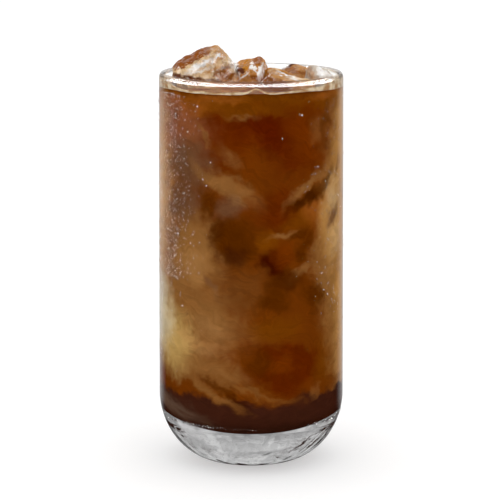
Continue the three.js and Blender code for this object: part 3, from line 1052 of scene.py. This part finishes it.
class LATTE_OT_ice(bpy.types.Operator):
    """Rounds and frosts the blocks of ice that stand out of the drink"""

    bl_idname = "latte.ice"
    bl_label = "Ice"

    def execute(self, context):
        colours = context.scene.latte_ice
        for node in ICE_NODES:
            piece = cad_copy(node, node + "_block")
            remesh = piece.modifiers.new("remesh", "REMESH")
            remesh.mode = "VOXEL"
            remesh.voxel_size = ICE_VOXEL * MM
            bpy.ops.object.modifier_apply(modifier=remesh.name)
            melt = piece.modifiers.new("melt", "SMOOTH")
            melt.iterations = 3
            bpy.ops.object.modifier_apply(modifier=melt.name)
            moves = []
            for vertex in piece.data.vertices:
                moves.append(vertex.normal * lumps(vertex.co, ICE_DENTS) * MM)
            for vertex, move in zip(piece.data.vertices, moves):
                vertex.co += move
            bpy.ops.object.shade_smooth()
            dressed(piece, wet_ice(node, colours), slot="ice", replaces=node)
        return {"FINISHED"}


# Where drops gather: the middle and half width in degrees round the glass from the front, the lowest and
# highest place in millimetres, and the share of the drops.
DEW_FIELDS = (
    (-64, 24, 74, 144, 0.66),
    (-78, 14, 40, 95, 0.12),
    (60, 25, 60, 143, 0.08),
    (180, 100, 30, 143, 0.16),
    (66, 26, 18.2, 19.2, 0.05),
    (-40, 36, 18.4, 19.2, 0.03),
)

# The higher this is, the more of the drops are small.
SMALL_DROPS = 2.2

# Larger drops and short runs: degrees round the glass, height in millimetres, radius, and length over width.
DEW_RUNS = (
    (-51, 91, 0.45, 2.6),
    (-53, 88.5, 0.4, 1.8),
    (-55, 113, 0.42, 1.5),
    (-52, 114.4, 0.3, 1.2),
    (-49, 68.5, 0.4, 3.0),
    (-47, 64, 0.35, 2.0),
    (-43, 61.5, 0.3, 1.6),
    (-37, 83, 0.3, 1.2),
    (19, 128.8, 0.4, 1.1),
    (-60, 100, 0.4, 1.6),
    (-63, 120, 0.38, 2.2),
    (57, 99, 0.35, 1.4),
)


def water():
    """Clear water with a faint ripple."""
    graph = material("water")
    ripple = graph.noise(graph.place_mm(), 0.5, detail=1)
    shader = graph.principled(
        Base_Color=(1, 1, 1),
        Roughness=0.0,
        IOR=1.33,
        Transmission_Weight=1.0,
        Normal=graph.bump(ripple, 0.02 * MM),
    )
    return graph.finish(let_light_through(graph, shader))


class LATTE_OT_dew(bpy.types.Operator):
    """Scatters small drops of condensation on the outside of the glass"""

    bl_idname = "latte.dew"
    bl_label = "Condensation"

    def execute(self, context):
        glass, dew = context.scene.latte_glass, context.scene.latte_dew
        start_clean()
        bpy.ops.mesh.primitive_uv_sphere_add(segments=6, ring_count=4, radius=1)
        piece = context.object
        piece.name = "condensation"
        shape = [vertex.co.copy() for vertex in piece.data.vertices]
        sides = [tuple(face.vertices) for face in piece.data.polygons]
        draw = random.Random(dew.seed)
        drops = [(math.radians(at), up * MM, size * MM, long) for at, up, size, long in DEW_RUNS]
        for middle, half, low, high, share in DEW_FIELDS:
            for _ in range(round(dew.drops * share)):
                at = math.radians(draw.gauss(middle, half / 2))
                size = dew.smallest + (dew.largest - dew.smallest) * draw.random() ** SMALL_DROPS
                drops.append((at, draw.uniform(low, high) * MM, size, draw.uniform(0.8, 1.3)))
        vertices, faces = [], []
        for at, up, size, long in drops:
            radius = outer_radius(glass, up)
            turn = Matrix.Rotation(at, 3, "Z")
            first = len(vertices)
            for corner in shape:
                flat = Vector((corner.x, corner.y * dew.flatness, corner.z * long)) * size
                vertices.append(turn @ (flat + Vector((0, -radius, 0))) + Vector((0, 0, up)))
            faces += [tuple(first + i for i in side) for side in sides]
        piece.data.clear_geometry()
        piece.data.from_pydata(vertices, [], faces)
        bpy.ops.object.shade_smooth()
        dressed(piece, water(), slot="glass")
        return {"FINISHED"}


class LATTE_OT_studio(bpy.types.Operator):
    """Sets the pale floor, the soft light and the camera"""

    bl_idname = "latte.studio"
    bl_label = "Studio"

    def execute(self, context):
        scene = context.scene
        studio = scene.latte_studio
        start_clean()
        bpy.ops.mesh.primitive_circle_add(vertices=96, radius=studio.floor_radius, fill_type="NGON")
        floor = context.object
        floor.name = "pale_floor"
        floor.visible_glossy = False
        graph = material("pale_floor")
        white = graph.principled(
            Base_Color=(0.85, 0.85, 0.85),
            Roughness=1.0,
            Specular_IOR_Level=0.0,
            Emission_Color=(1, 1, 1),
            Emission_Strength=0.2,
        )
        floor.data.materials.append(graph.finish(white))

        world = bpy.data.worlds.new("studio")
        scene.world = world
        graph = Graph(world)
        # Here x, y and z are the parts of a direction, so z is 1 straight up and y is 1 straight back.
        x, y, z = xyz(graph, graph.node("TexCoord", output="Generated"))
        above = graph.smooth(z, -0.05, 0.35)
        seen = graph.node("LightPath", output="Is Camera Ray")
        scattered = seen.beside("Is Diffuse Ray")
        mirror = seen.beside("Is Glossy Ray") * seen.beside("Is Reflection Ray")
        # What shiny surfaces mirror: a strip in front, bent at its ends, and the white behind the glass.
        low = z + graph.math("ABSOLUTE", x) * 0.12
        strip = graph.smooth(low, 0.12, 0.18) * graph.smooth(z, 0.62, 0.5) * graph.smooth(y, 0.7, 0.2)
        behind = graph.smooth(y, 0.65, 0.93) * graph.smooth(z, -0.35, -0.22)
        mirrored = strip * studio.strip_light + behind * studio.edge_light
        soft = above * (1 - scattered * 0.4) * studio.back_light
        strength = graph.math("MAXIMUM", soft + mirrored * mirror, seen)
        background = graph.node("Background", inputs={"Color": (1, 1, 1, 1), "Strength": strength})
        graph.node("OutputWorld", inputs={"Surface": background})

        middle = Vector((0, 0, 80 * MM))
        lamps = (
            ("fill_left", "AREA", (-0.7, -1, 0.5), studio.fill_power),
            ("fill_right", "AREA", (0.7, -1, 0.5), studio.fill_power),
            ("sky", "SUN", (0, 0.1, 1.1), studio.sky_power),
        )
        for name, kind, place, power in lamps:
            turn = (middle - Vector(place)).to_track_quat("-Z", "Y").to_euler()
            bpy.ops.object.light_add(type=kind, location=place, rotation=turn)
            lamp = context.object
            lamp.name = name
            lamp.data.energy = power
            if kind == "AREA":
                lamp.data.size = studio.fill_size
            else:
                lamp.data.angle = studio.sky_width
            # The glass neither mirrors the lamps nor shows them through it.
            lamp.visible_glossy = False
            lamp.visible_transmission = False

        place = (studio.camera_side, -studio.camera_distance, studio.camera_height)
        bpy.ops.object.camera_add(location=place, rotation=(math.pi / 2 - studio.camera_pitch, 0, 0))
        scene.camera = context.object
        scene.camera.data.lens = studio.lens
        scene.camera.data.sensor_width = 36
        scene.view_settings.view_transform = "Standard"
        scene.cycles.use_denoising = True
        return {"FINISHED"}


class LATTE_PT_panel(bpy.types.Panel):
    """Lists the pieces in the order they are made"""

    bl_idname = "LATTE_PT_panel"
    bl_label = "Iced Latte"
    bl_space_type = "VIEW_3D"
    bl_region_type = "UI"
    bl_category = "Iced Latte"

    def draw(self, context):
        for operator in OPERATORS:
            self.layout.operator(operator.bl_idname)


OPERATORS = (LATTE_OT_studio, LATTE_OT_glass, LATTE_OT_dew, LATTE_OT_ice, LATTE_OT_drink, LATTE_OT_foam)
SETTINGS = {
    "latte_glass": GlassSizes,
    "latte_tints": GlassColours,
    "latte_drink": DrinkSizes,
    "latte_colours": DrinkColours,
    "latte_ice": IceColours,
    "latte_dew": DewSizes,
    "latte_studio": StudioSizes,
}
CLASSES = (*SETTINGS.values(), *OPERATORS, LATTE_PT_panel)


def register():
    for each in CLASSES:
        bpy.utils.register_class(each)
    for name, group in SETTINGS.items():
        setattr(bpy.types.Scene, name, PointerProperty(type=group))


def unregister():
    for name in SETTINGS:
        delattr(bpy.types.Scene, name)
    for each in reversed(CLASSES):
        bpy.utils.unregister_class(each)


def main():
    register()
    for operator in OPERATORS:
        category, name = operator.bl_idname.split(".")
        getattr(getattr(bpy.ops, category), name)()


if __name__ == "__main__":
    main()
